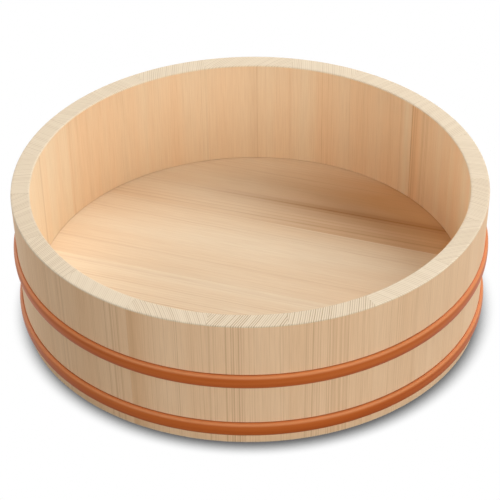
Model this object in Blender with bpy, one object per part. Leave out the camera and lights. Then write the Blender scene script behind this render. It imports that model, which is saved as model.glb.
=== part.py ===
"""Sushi rice tub (hangiri), coopered the way the real one is.

Staves of unequal widths stand edge to edge round a tapered wall. Bamboo pegs in blind holes line up their edges,
two hoops in shallow grooves draw them together, and a groove round the inside holds the floor. The floor is four
boards pegged edge to edge, thinned from below to a tongue that fits the groove, and it sits above the foot.

Units are metres, +Z is up, and the origin is at the middle of the foot, on the surface that the tub stands on.
The photograph's view looks along +Y, so stave angles are counted from +X, anticlockwise seen from above.
"""

import math

import bmesh
import bpy
from mathutils import Matrix, Vector

# Wall
RIM_DIAMETER = 0.330
FOOT_DIAMETER = 0.3208
TUB_HEIGHT = 0.100
WALL_AT_RIM = 0.0132
WALL_AT_FOOT = 0.0120
RIM_CHAMFER = 0.0008
FOOT_CHAMFER = 0.0010

# Staves: widths in millimetres along the rim, anticlockwise from the joint at FIRST_JOINT_ANGLE. They share out the
# whole circle in proportion, so a larger tub gets wider staves.
STAVE_WIDTHS = (58, 55, 62, 51, 68, 53, 48, 37, 48, 51, 56, 52, 55, 56, 54, 60, 67, 57, 52)
FIRST_JOINT_ANGLE = math.radians(0.0)
STAVE_FACET_ANGLE = math.radians(4.0)

# Floor: board widths in millimetres from the back to the front, shared out over the floor's diameter
FLOOR_TOP_HEIGHT = 0.0205
FLOOR_THICKNESS = 0.011
TONGUE_THICKNESS = 0.008
TONGUE_DEPTH = 0.004
UNDERSIDE_BEVEL = 0.012
BOARD_WIDTHS = (88, 81, 76, 61)
GRAIN_ANGLE = math.radians(-19.8)
ROUND_FACETS = 96

# Hoops: a flat back in the groove and a domed face that stands proud of the wall. A hoop's place is the height of
# its lower edge above the foot.
HOOP_HEIGHT = 0.0106
HOOP_PROUD = 0.0026
HOOP_SUNK = 0.0015
HOOP_SHOULDER = 0.0003
UPPER_HOOP_PLACE = 0.0485
LOWER_HOOP_PLACE = 0.0073
DOME_POINTS = 7

# Bamboo pegs
PEG_DIAMETER = 0.003
STAVE_PEG_LENGTH = 0.016
FLOOR_PEG_LENGTH = 0.024
PEG_SIDES = 8
FLOOR_PEG_PLACES = (-0.6, 0.0, 0.6)

# Clearances
STAVE_GAP = 0.0003
BOARD_GAP = 0.0003
FIT = 0.0003

SMOOTH_ANGLE = math.radians(30.0)

# Finishes as linear colour, roughness and metallic
PALE_SAWARA = ((0.76, 0.56, 0.36, 1.0), 0.62, 0.0)
WARM_SAWARA = ((0.68, 0.45, 0.26, 1.0), 0.62, 0.0)
ROSY_SAWARA = ((0.62, 0.38, 0.21, 1.0), 0.60, 0.0)
COPPER_RESIN = ((0.50, 0.13, 0.035, 1.0), 0.34, 0.0)
BAMBOO = ((0.60, 0.44, 0.20, 1.0), 0.50, 0.0)
STAVE_TONES = (WARM_SAWARA, ROSY_SAWARA, WARM_SAWARA, PALE_SAWARA)
BOARD_TONES = (ROSY_SAWARA, WARM_SAWARA, PALE_SAWARA, PALE_SAWARA)


def outer_radius(height):
    """Radius of the wall's straight outer face at a height above the foot."""
    foot = FOOT_DIAMETER / 2
    rim = RIM_DIAMETER / 2
    return foot + (rim - foot) * height / TUB_HEIGHT


def wall_thickness(height):
    """Thickness of the wall, measured level, at a height above the foot."""
    return WALL_AT_FOOT + (WALL_AT_RIM - WALL_AT_FOOT) * height / TUB_HEIGHT


def inner_radius(height):
    """Radius of the wall's straight inner face at a height above the foot."""
    return outer_radius(height) - wall_thickness(height)


def middle_radius(height):
    """Radius of the middle of the wall, where the pegs lie."""
    return outer_radius(height) - wall_thickness(height) / 2


def floor_groove_radius():
    """Radius of the bottom of the groove that holds the floor."""
    return inner_radius(FLOOR_TOP_HEIGHT) + TONGUE_DEPTH


def floor_radius():
    """Radius of the floor's edge, a clearance short of the flats of its groove's facets."""
    return floor_groove_radius() * math.cos(STAVE_FACET_ANGLE / 2) - FIT


def hoop_groove(place):
    """Outline points of a hoop's groove in the outer face, from its top to its bottom."""
    top = place + HOOP_HEIGHT + FIT
    bottom = place - FIT
    return [
        (outer_radius(top), top),
        (outer_radius(top) - HOOP_SUNK, top),
        (outer_radius(bottom) - HOOP_SUNK, bottom),
        (outer_radius(bottom), bottom),
    ]


def stave_outline():
    """Cross-section of the wall as (radius, height) points, up the inside and down the outside."""
    groove_top = FLOOR_TOP_HEIGHT + FIT
    groove_bottom = FLOOR_TOP_HEIGHT - TONGUE_THICKNESS - FIT
    rim_edge = TUB_HEIGHT - RIM_CHAMFER
    return [
        (inner_radius(0) + FOOT_CHAMFER, 0),
        (inner_radius(FOOT_CHAMFER), FOOT_CHAMFER),
        (inner_radius(groove_bottom), groove_bottom),
        (floor_groove_radius(), groove_bottom),
        (floor_groove_radius(), groove_top),
        (inner_radius(groove_top), groove_top),
        (inner_radius(rim_edge), rim_edge),
        (inner_radius(TUB_HEIGHT) + RIM_CHAMFER, TUB_HEIGHT),
        (outer_radius(TUB_HEIGHT) - RIM_CHAMFER, TUB_HEIGHT),
        (outer_radius(rim_edge), rim_edge),
        *hoop_groove(UPPER_HOOP_PLACE),
        *hoop_groove(LOWER_HOOP_PLACE),
        (outer_radius(FOOT_CHAMFER), FOOT_CHAMFER),
        (outer_radius(0) - FOOT_CHAMFER, 0),
    ]


def hoop_outline(place):
    """Cross-section of a hoop: a back parallel to the wall, short square edges and a domed face.

    The ring's facets have their flats on the stated radius, so that they clear the staves' corners.
    """
    half = HOOP_HEIGHT / 2
    centre = place + half
    back = HOOP_SUNK - FIT
    points = [
        (outer_radius(centre - half) - back, centre - half),
        (outer_radius(centre + half) - back, centre + half),
    ]
    for step in range(DOME_POINTS):
        turn = math.pi / 2 - math.pi * step / (DOME_POINTS - 1)
        height = centre + half * math.sin(turn)
        proud = HOOP_SHOULDER + (HOOP_PROUD - HOOP_SHOULDER) * math.cos(turn)
        points.append((outer_radius(height) + proud, height))
    flats = math.cos(math.pi / ROUND_FACETS)
    return [(radius / flats, height) for radius, height in points]


def floor_outline():
    """Edge of the floor, from its top down the tongue and along the bevel to its underside."""
    top = FLOOR_TOP_HEIGHT
    return [
        (floor_radius(), top),
        (floor_radius(), top - TONGUE_THICKNESS),
        (inner_radius(top) - FIT, top - TONGUE_THICKNESS),
        (inner_radius(top) - UNDERSIDE_BEVEL, top - FLOOR_THICKNESS),
    ]


def joint_angles():
    """Angle of each joint between two staves; joint i comes before stave i."""
    whole = sum(STAVE_WIDTHS)
    angle = FIRST_JOINT_ANGLE
    angles = []
    for width in STAVE_WIDTHS:
        angles.append(angle)
        angle += 2 * math.pi * width / whole
    return angles


def board_joints():
    """Distance of each joint between floor boards from the middle, towards the back, from back to front."""
    whole = sum(BOARD_WIDTHS)
    place = floor_radius()
    joints = []
    for width in BOARD_WIDTHS[:-1]:
        place -= 2 * floor_radius() * width / whole
        joints.append(place)
    return joints


def stave_peg_places():
    """Centre and direction of the peg in each stave joint, midway between the hoops and in mid wall."""
    height = (UPPER_HOOP_PLACE + LOWER_HOOP_PLACE + HOOP_HEIGHT) / 2
    radius = middle_radius(height)
    places = []
    for angle in joint_angles():
        centre = Vector((radius * math.cos(angle), radius * math.sin(angle), height))
        places.append((centre, angle))
    return places


def floor_peg_places():
    """Centre and direction of each floor peg, spread along the joints at mid thickness."""
    height = FLOOR_TOP_HEIGHT - FLOOR_THICKNESS / 2
    places = []
    for joint in board_joints():
        half_length = math.sqrt(floor_radius() ** 2 - joint**2)
        for share in FLOOR_PEG_PLACES:
            places.append((Vector((share * half_length, joint, height)), 0.0))
    return places


def outline_edges(mesh, outline, closed):
    """Adds an outline in the XZ plane and returns its vertices and edges."""
    corners = [mesh.verts.new((radius, 0, height)) for radius, height in outline]
    ends = list(zip(corners, corners[1:]))
    if closed:
        ends.append((corners[-1], corners[0]))
    return corners, [mesh.edges.new(pair) for pair in ends]


def sector_mesh(outline, angle):
    """Solid swept by a closed outline turned through an angle, centred on +X."""
    mesh = bmesh.new()
    corners, _ = outline_edges(mesh, outline, closed=True)
    face = mesh.faces.new(corners)
    bmesh.ops.rotate(mesh, verts=corners, matrix=Matrix.Rotation(-angle / 2, 3, "Z"))
    steps = math.ceil(angle / STAVE_FACET_ANGLE)
    bmesh.ops.spin(mesh, geom=[face], axis=(0, 0, 1), cent=(0, 0, 0), angle=angle, steps=steps)
    bmesh.ops.recalc_face_normals(mesh, faces=mesh.faces)
    return mesh


def turned_mesh(outline, closed):
    """Surface of an outline turned once round the Z axis."""
    mesh = bmesh.new()
    corners, edges = outline_edges(mesh, outline, closed)
    bmesh.ops.spin(
        mesh,
        geom=corners + edges,
        axis=(0, 0, 1),
        cent=(0, 0, 0),
        angle=2 * math.pi,
        steps=ROUND_FACETS,
        use_merge=True,
    )
    return mesh


def close_openings(mesh):
    """Fills every open loop with one flat face and turns all faces outwards."""
    open_edges = [edge for edge in mesh.edges if edge.is_boundary]
    bmesh.ops.holes_fill(mesh, edges=open_edges, sides=0)
    bmesh.ops.recalc_face_normals(mesh, faces=mesh.faces)


def floor_slice(back, front):
    """The part of the round floor between two straight joints; None leaves a side uncut."""
    mesh = turned_mesh(floor_outline(), closed=False)
    close_openings(mesh)
    cuts = []
    if back is not None:
        cuts.append((back - BOARD_GAP / 2, Vector((0, 1, 0))))
    if front is not None:
        cuts.append((front + BOARD_GAP / 2, Vector((0, -1, 0))))
    for place, outwards in cuts:
        bmesh.ops.bisect_plane(
            mesh,
            geom=mesh.verts[:] + mesh.edges[:] + mesh.faces[:],
            plane_co=(0, place, 0),
            plane_no=outwards,
            clear_outer=True,
        )
        close_openings(mesh)
    return mesh


def peg_mesh(length, clearance=0.0):
    """A round peg along Y, grown all round by a clearance."""
    mesh = bmesh.new()
    bmesh.ops.create_cone(
        mesh,
        cap_ends=True,
        segments=PEG_SIDES,
        radius1=PEG_DIAMETER / 2 + clearance,
        radius2=PEG_DIAMETER / 2 + clearance,
        depth=length + 2 * clearance,
        matrix=Matrix.Rotation(math.pi / 2, 4, "X"),
    )
    return mesh


def peg_holes_mesh(places, length):
    """All the holes of a row of pegs, as one shape to cut with."""
    holes = bmesh.new()
    for centre, turn in places:
        hole = peg_mesh(length, FIT)
        hole.transform(Matrix.Translation(centre) @ Matrix.Rotation(turn, 4, "Z"))
        copy = bpy.data.meshes.new("hole")
        hole.to_mesh(copy)
        hole.free()
        holes.from_mesh(copy)
        bpy.data.meshes.remove(copy)
    return holes


def finish_material(name, finish):
    """Principled material from a finish."""
    colour, roughness, metallic = finish
    material = bpy.data.materials.new(name)
    material.use_nodes = True
    shader = material.node_tree.nodes["Principled BSDF"]
    shader.inputs["Base Color"].default_value = colour
    shader.inputs["Roughness"].default_value = roughness
    shader.inputs["Metallic"].default_value = metallic
    material.diffuse_color = colour
    return material


def add_object(name, mesh, parent, place=(0, 0, 0), turn=0.0):
    """Puts a mesh into the scene as a named object, placed and turned about Z under its parent."""
    data = bpy.data.meshes.new(name)
    mesh.to_mesh(data)
    mesh.free()
    data.shade_smooth()
    data.set_sharp_from_angle(angle=SMOOTH_ANGLE)
    item = bpy.data.objects.new(name, data)
    bpy.context.scene.collection.objects.link(item)
    item.parent = parent
    item.location = place
    item.rotation_euler = (0, 0, turn)
    return item


def add_piece(name, mesh, parent, finish, place=(0, 0, 0), turn=0.0):
    """Adds one piece of the tub with its own material."""
    piece = add_object(name, mesh, parent, place, turn)
    piece.data.materials.append(finish_material(name + "_finish", finish))
    return piece


def add_pegs(name, places, length, parent):
    """Adds a bamboo peg at each place, and returns the shape of all their holes, which only cuts."""
    for number, (centre, turn) in enumerate(places, start=1):
        add_piece(f"{name}_{number:02d}", peg_mesh(length), parent, BAMBOO, centre, turn)
    cutter = add_object(f"{name}_holes", peg_holes_mesh(places, length), parent)
    cutter.hide_render = True
    cutter.display_type = "WIRE"
    return cutter


def drill(piece, cutter):
    """Cuts the cutter's shapes out of a piece."""
    holes = piece.modifiers.new("peg_holes", "BOOLEAN")
    holes.operation = "DIFFERENCE"
    holes.solver = "EXACT"
    holes.object = cutter


def build_staves(tub):
    """The wall: one tapered stave between each two joints, and a peg across each joint."""
    cutter = add_pegs("stave_peg", stave_peg_places(), STAVE_PEG_LENGTH, tub)
    gap_angle = STAVE_GAP / middle_radius(TUB_HEIGHT)
    starts = joint_angles()
    ends = starts[1:] + [starts[0] + 2 * math.pi]
    for number, (start, end) in enumerate(zip(starts, ends), start=1):
        finish = STAVE_TONES[number % len(STAVE_TONES)]
        mesh = sector_mesh(stave_outline(), end - start - gap_angle)
        stave = add_piece(f"stave_{number:02d}", mesh, tub, finish, turn=(start + end) / 2)
        drill(stave, cutter)


def build_floor(tub):
    """The floor: boards between parallel joints, turned to the grain's direction, and their pegs."""
    floor = bpy.data.objects.new("floor", None)
    bpy.context.scene.collection.objects.link(floor)
    floor.parent = tub
    floor.rotation_euler = (0, 0, GRAIN_ANGLE)
    cutter = add_pegs("floor_peg", floor_peg_places(), FLOOR_PEG_LENGTH, floor)
    joints = board_joints()
    backs = [None] + joints
    fronts = joints + [None]
    for number, (back, front) in enumerate(zip(backs, fronts), start=1):
        finish = BOARD_TONES[(number - 1) % len(BOARD_TONES)]
        board = add_piece(f"floor_board_{number}", floor_slice(back, front), floor, finish)
        drill(board, cutter)


def build_hoops(tub):
    """The two hoops, each one closed ring."""
    for name, place in (("upper_hoop", UPPER_HOOP_PLACE), ("lower_hoop", LOWER_HOOP_PLACE)):
        mesh = turned_mesh(hoop_outline(place), closed=True)
        bmesh.ops.recalc_face_normals(mesh, faces=mesh.faces)
        add_piece(name, mesh, tub, COPPER_RESIN)


def main():
    """Clears the scene and builds the tub."""
    for item in list(bpy.data.objects):
        bpy.data.objects.remove(item, do_unlink=True)
    tub = bpy.data.objects.new("tub", None)
    bpy.context.scene.collection.objects.link(tub)
    build_staves(tub)
    build_floor(tub)
    build_hoops(tub)


main()
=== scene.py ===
"""Looks of a coopered sushi rice tub: planed sawara staves, a board floor and two copper-coloured hoops.

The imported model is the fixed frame. Staves, floor boards and hoops are built again here as fine surfaces in
the places of their solids, and the bamboo pegs inside the joints keep their own meshes. Sizes of the tub are
in millimetres, because that is how a cooper would give them, and meshes are in metres. The photograph looks
along +Y, and angles round the tub are in degrees from +X, anticlockwise seen from above.
"""

import logging
import math
from collections.abc import Callable
from dataclasses import dataclass
from enum import Enum
from functools import partial

import bpy
import numpy as np
from mathutils import Matrix, Vector


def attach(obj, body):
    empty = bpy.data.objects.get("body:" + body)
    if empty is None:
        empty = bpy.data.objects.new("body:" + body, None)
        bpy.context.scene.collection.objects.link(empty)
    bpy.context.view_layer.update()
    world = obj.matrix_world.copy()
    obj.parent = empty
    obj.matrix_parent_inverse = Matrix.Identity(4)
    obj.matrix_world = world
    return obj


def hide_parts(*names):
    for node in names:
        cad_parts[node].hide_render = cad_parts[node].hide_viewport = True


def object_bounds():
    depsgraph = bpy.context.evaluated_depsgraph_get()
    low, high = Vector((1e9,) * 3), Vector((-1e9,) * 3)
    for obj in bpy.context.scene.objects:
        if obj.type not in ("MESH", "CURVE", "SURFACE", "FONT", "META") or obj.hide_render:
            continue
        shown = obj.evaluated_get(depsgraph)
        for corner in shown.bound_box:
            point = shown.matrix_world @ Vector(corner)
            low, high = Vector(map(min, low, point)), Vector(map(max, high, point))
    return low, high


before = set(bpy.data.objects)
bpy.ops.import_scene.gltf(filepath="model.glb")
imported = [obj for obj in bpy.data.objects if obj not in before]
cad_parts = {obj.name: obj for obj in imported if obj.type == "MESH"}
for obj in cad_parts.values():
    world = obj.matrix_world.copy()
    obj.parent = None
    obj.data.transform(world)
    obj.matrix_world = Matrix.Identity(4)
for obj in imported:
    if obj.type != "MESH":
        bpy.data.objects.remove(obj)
CAD_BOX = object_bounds()

MM = 0.001
LOG = logging.getLogger("rice_tub")

# Clearance between neighbouring solids of the frame, in mm.
CLEARANCE = 0.3
# How much larger than its peg a hole is all round, in mm, and the number of its sides.
HOLE_CLEARANCE = 0.2
HOLE_SIDES = 24
# Numbers of the lower and the upper colour among the inputs of a node that blends two colours.
UNDER = 6
OVER = 7

Array = np.ndarray
Material = bpy.types.Material
Node = bpy.types.Node
Piece = bpy.types.Object
Socket = bpy.types.NodeSocket
Tree = bpy.types.NodeTree
# Stops of a colour ramp: pairs of place and value, where a number is a grey and a text is a hex colour.
Stops = tuple[tuple[float, float | str], ...]
# What a value is multiplied by, and what is then added.
Span = tuple[float, float]
# A groove in the staves: its lower edge, its upper edge and its depth, in mm.
Groove = tuple[float, float, float]


class Face(Enum):
    """The face of a piece of wood on which the places of its streaks were measured."""

    OUTER = "outer"
    INNER = "inner"


# Helpers for colours and nodes


def linear(hex_colour: str) -> tuple[float, float, float, float]:
    """Turns an sRGB hex colour to linear RGBA.

    Args:
        hex_colour: Six hex digits after a #.

    Returns:
        Linear red, green and blue, and an alpha of 1.
    """
    parts = [int(hex_colour[i : i + 2], 16) / 255 for i in (1, 3, 5)]
    lit = [p / 12.92 if p <= 0.04045 else ((p + 0.055) / 1.055) ** 2.4 for p in parts]
    return (lit[0], lit[1], lit[2], 1.0)


def set_stops(ramp: bpy.types.ColorRamp, stops: Stops) -> None:
    """Sets the stops of a colour ramp.

    Args:
        ramp: The ramp.
        stops: Its stops, from left to right.
    """
    while len(ramp.elements) < len(stops):
        ramp.elements.new(1.0)
    for element, (place, value) in zip(ramp.elements, stops):
        element.position = place
        element.color = linear(value) if isinstance(value, str) else (value, value, value, 1.0)


def feed(node: Node, inputs: dict | tuple) -> None:
    """Links or sets the inputs of a node.

    Args:
        node: The node.
        inputs: For each input, by name, by number or in order: a node or socket to link from, a hex colour
            or another value to set. A node stands for its first usable output.
    """
    for name, value in inputs.items() if isinstance(inputs, dict) else enumerate(inputs):
        if isinstance(value, Node):
            value = next(output for output in value.outputs if output.enabled)
        if isinstance(value, Socket):
            node.id_data.links.new(value, node.inputs[name])
        else:
            node.inputs[name].default_value = linear(value) if isinstance(value, str) else value


def add_node(tree: Tree, kind: str, inputs: dict | tuple = (), stops: Stops = (), **settings: object) -> Node:
    """Adds one node with its settings and links.

    Args:
        tree: The node tree to add to.
        kind: The node's type.
        inputs: What its inputs are linked or set to, as feed takes it.
        stops: The stops of its colour ramp, where it has one.
        settings: The node's own properties.

    Returns:
        The new node.
    """
    node = tree.nodes.new(kind)
    for name, value in settings.items():
        setattr(node, name, value)
    feed(node, inputs)
    if stops:
        set_stops(node.color_ramp, stops)
    return node


def lay_over(tree: Tree, base: object, coats: tuple[tuple[object, object], ...]) -> object:
    """Lays colours over a base colour, one after another.

    Args:
        tree: The material's node tree.
        base: The base, as a node, a socket or a hex colour.
        coats: For each coat, how much of it shows, from 0 to 1, and its colour, in the same forms.

    Returns:
        The node that gives the blended colour.
    """
    for share, colour in coats:
        base = add_node(tree, "ShaderNodeMix", {0: share, UNDER: base, OVER: colour}, data_type="RGBA")
    return base


def new_material(name: str) -> tuple[Material, Tree, Node]:
    """Makes a material.

    Args:
        name: Its name.

    Returns:
        The material, its node tree and its Principled shader.
    """
    material = bpy.data.materials.new(name)
    material.use_nodes = True
    tree = material.node_tree
    return material, tree, tree.nodes["Principled BSDF"]


# Helpers for meshes


def grid_faces(rows: int, columns: int, wrap_columns: bool) -> Array:
    """Quads of a grid of points stored row by row.

    Args:
        rows: Number of rows.
        columns: Number of points in a row.
        wrap_columns: Whether the last column joins the first.

    Returns:
        Four point numbers for each quad, in the order (i, j), (i, j+1), (i+1, j+1), (i+1, j).
    """
    i = np.arange(rows - 1)[:, None]
    j = np.arange(columns if wrap_columns else columns - 1)[None, :]
    after = (j + 1) % columns
    corners = [i * columns + j, i * columns + after, (i + 1) * columns + after, (i + 1) * columns + j]
    return np.stack([np.broadcast_to(c, (rows - 1, j.shape[1])) for c in corners], axis=-1).reshape(-1, 4)


def carry_round(section: Array, angle: Array) -> Array:
    """Carries a section round the Z axis: a point is (r cos a, r sin a, z).

    Args:
        section: Rows of radius r and height z, in mm.
        angle: The angles a, in radians.

    Returns:
        Points in metres, as angles by rows of the section by x, y and z.
    """
    angle = angle[:, None]
    radius, height = (section * MM).T[:, None, :]
    return np.stack([radius * np.cos(angle), radius * np.sin(angle), height + 0 * angle], axis=-1)


def make_object(name: str, points: Array, faces: list, sharp_degrees: float = 35.0) -> Piece:
    """Puts points and faces into a new, smooth-shaded object at the origin.

    Args:
        name: The piece's name.
        points: Points in metres, with x, y and z last.
        faces: Lists of point numbers.
        sharp_degrees: Edges that turn by more than this stay sharp.

    Returns:
        The new object.
    """
    mesh = bpy.data.meshes.new(name)
    mesh.from_pydata(points.reshape(-1, 3).tolist(), [], faces)
    mesh.validate()
    mesh.shade_smooth()
    mesh.set_sharp_from_angle(angle=math.radians(sharp_degrees))
    piece = bpy.data.objects.new(name, mesh)
    bpy.context.scene.collection.objects.link(piece)
    return piece


def point_array(piece: Piece) -> Array:
    """Reads the points of a piece.

    Args:
        piece: The piece.

    Returns:
        Rows of x, y and z, in metres.
    """
    flat = np.zeros(len(piece.data.vertices) * 3, np.float32)
    piece.data.vertices.foreach_get("co", flat)
    return flat.reshape(-1, 3).astype(float)


def write_attribute(piece: Piece, name: str, values: Array) -> None:
    """Stores a number or a vector for each point of a piece, for its material to read.

    Args:
        piece: The piece.
        name: The attribute's name.
        values: One number or row of three for each point.
    """
    kind, key = ("FLOAT", "value") if values.ndim == 1 else ("FLOAT_VECTOR", "vector")
    attribute = piece.data.attributes.new(name, kind, "POINT")
    attribute.data.foreach_set(key, values.astype(np.float32).ravel())


def flip_if_inside_out(piece: Piece) -> None:
    """Turns all faces round where the signed volume is negative.

    The signed volume is the sum over triangles of the triple product of their corners, divided by six.

    Args:
        piece: A closed piece.
    """
    piece.data.calc_loop_triangles()
    corners = np.zeros(len(piece.data.loop_triangles) * 3, np.int32)
    piece.data.loop_triangles.foreach_get("vertices", corners)
    a, b, c = np.moveaxis(point_array(piece)[corners.reshape(-1, 3)], 1, 0)
    if np.einsum("ij,ij->i", a, np.cross(b, c)).sum() < 0:
        piece.data.flip_normals()


def peg_cutter(prefix: str) -> Piece:
    """One shape to cut peg holes with: a round bar, a clearance larger than its peg, for each peg.

    Each bar is a circle in the plane across the peg, carried along the peg's own length. The peg's length
    runs along the longest axis of its points, which a singular value decomposition gives.

    Args:
        prefix: Start of the names of the peg nodes.

    Returns:
        The cutter, which is removed once it has cut.
    """
    turn = np.arange(HOLE_SIDES) * 2 * math.pi / HOLE_SIDES
    points = []
    faces = []
    for number, peg in enumerate(sorted(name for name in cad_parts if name.startswith(prefix))):
        corners = point_array(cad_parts[peg])
        centre = (corners.max(0) + corners.min(0)) / 2
        offsets = corners - centre
        along, across, up = np.linalg.svd(offsets, full_matrices=False)[2]
        if np.dot(np.cross(across, up), along) < 0:
            up = -up
        half = np.abs(offsets @ along).max() + HOLE_CLEARANCE * MM
        from_axis = np.linalg.norm(offsets - np.outer(offsets @ along, along), axis=1)
        radius = from_axis.max() + HOLE_CLEARANCE * MM
        circle = radius * (np.cos(turn)[:, None] * across + np.sin(turn)[:, None] * up)
        points.append(np.concatenate([centre - half * along + circle, centre + half * along + circle]))
        first = number * 2 * HOLE_SIDES
        faces += (grid_faces(2, HOLE_SIDES, True) + first).tolist()
        faces.append(list(range(first + HOLE_SIDES - 1, first - 1, -1)))
        faces.append(list(range(first + HOLE_SIDES, first + 2 * HOLE_SIDES)))
    cutter = make_object(prefix + "cutter", np.concatenate(points), faces)
    flip_if_inside_out(cutter)
    return cutter


def cut_holes(piece: Piece, cutter: Piece) -> None:
    """Cuts a shape out of a piece and applies the cut.

    Args:
        piece: The piece to cut.
        cutter: The shape to cut with.
    """
    cut = piece.modifiers.new("peg_holes", "BOOLEAN")
    cut.operation = "DIFFERENCE"
    cut.solver = "EXACT"
    cut.object = cutter
    bpy.context.view_layer.update()
    seen = piece.evaluated_get(bpy.context.evaluated_depsgraph_get())
    done = bpy.data.meshes.new_from_object(seen)
    piece.modifiers.clear()
    old = piece.data
    piece.data = done
    bpy.data.meshes.remove(old)
    done.name = piece.name


def settle(piece: Piece, node: str, material: Material) -> None:
    """Gives a piece its material, and makes it stand for its CAD node and ride on the tub.

    Args:
        piece: The finished piece.
        node: Name of the node that it stands for.
        material: Its finish.
    """
    piece.data.materials.clear()
    piece.data.materials.append(material)
    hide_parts(node)
    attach(piece, "root")
    LOG.info("%s stands for %s, %d faces", piece.name, node, len(piece.data.polygons))


# Finishes


@dataclass(frozen=True)
class Noise:
    """A noise whose cells have their own size along each of three coordinates.

    Attributes:
        cells: Cells for each unit of the three coordinates.
        detail: Number of finer layers in it.
        roughness: How strong the finer layers are.
    """

    cells: tuple[float, float, float]
    detail: float
    roughness: float = 0.55

    def build(self, tree: Tree, place: Socket) -> Node:
        """Adds the noise to a material.

        Args:
            tree: The material's node tree.
            place: The three coordinates.

        Returns:
            The noise, from 0 to 1.
        """
        scaled = add_node(tree, "ShaderNodeVectorMath", (place, self.cells), operation="MULTIPLY")
        inputs = {"Vector": scaled, "Scale": 1.0, "Detail": self.detail, "Roughness": self.roughness}
        return add_node(tree, "ShaderNodeTexNoise", inputs)


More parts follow.
